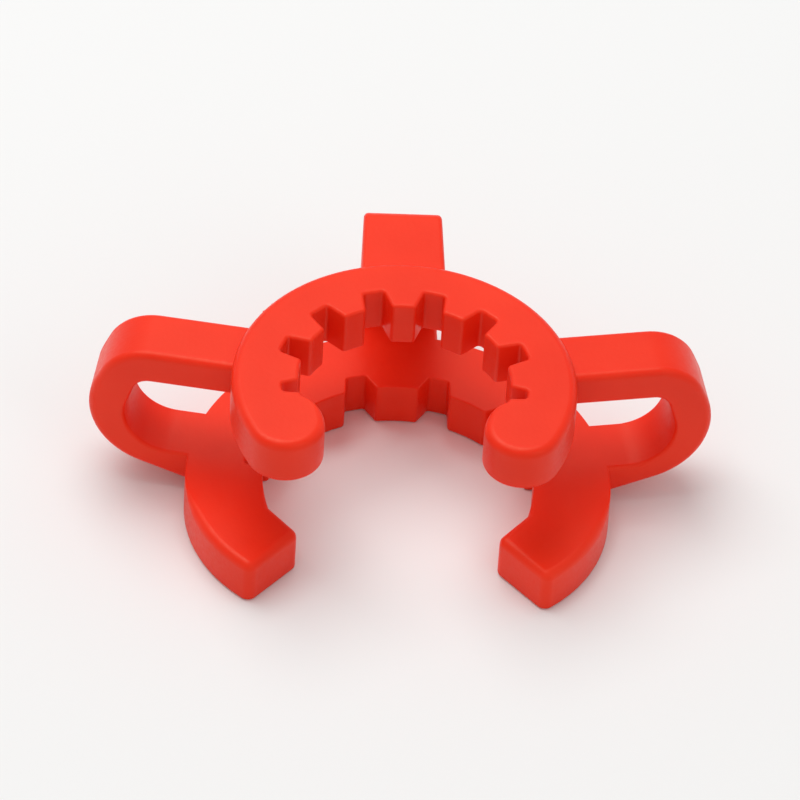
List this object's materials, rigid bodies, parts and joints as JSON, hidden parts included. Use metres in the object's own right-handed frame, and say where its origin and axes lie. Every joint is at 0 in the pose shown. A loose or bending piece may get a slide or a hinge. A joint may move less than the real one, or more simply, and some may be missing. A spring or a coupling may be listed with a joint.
{
  "type": "ground glass joint clip",
  "caption": "One-piece plastic clip: two open toothed rings on one axis, tied by side loops and a back strap, hold the cone and socket of a ground glass joint together.",
  "frame": {"origin": "centre of the large ring's tooth circle, at its underside", "axes": "+Z from the large ring to the small ring along their shared axis, open mouth toward -Y, back strap toward +Y, side loops along X"},
  "size_m": [0.0508, 0.0318, 0.0154],
  "materials": {
    "joint_clip": "satin red, injection moulded"
  },
  "bodies": {
    "root": {"joint_clip": "joint_clip"}
  },
  "joints": []
}
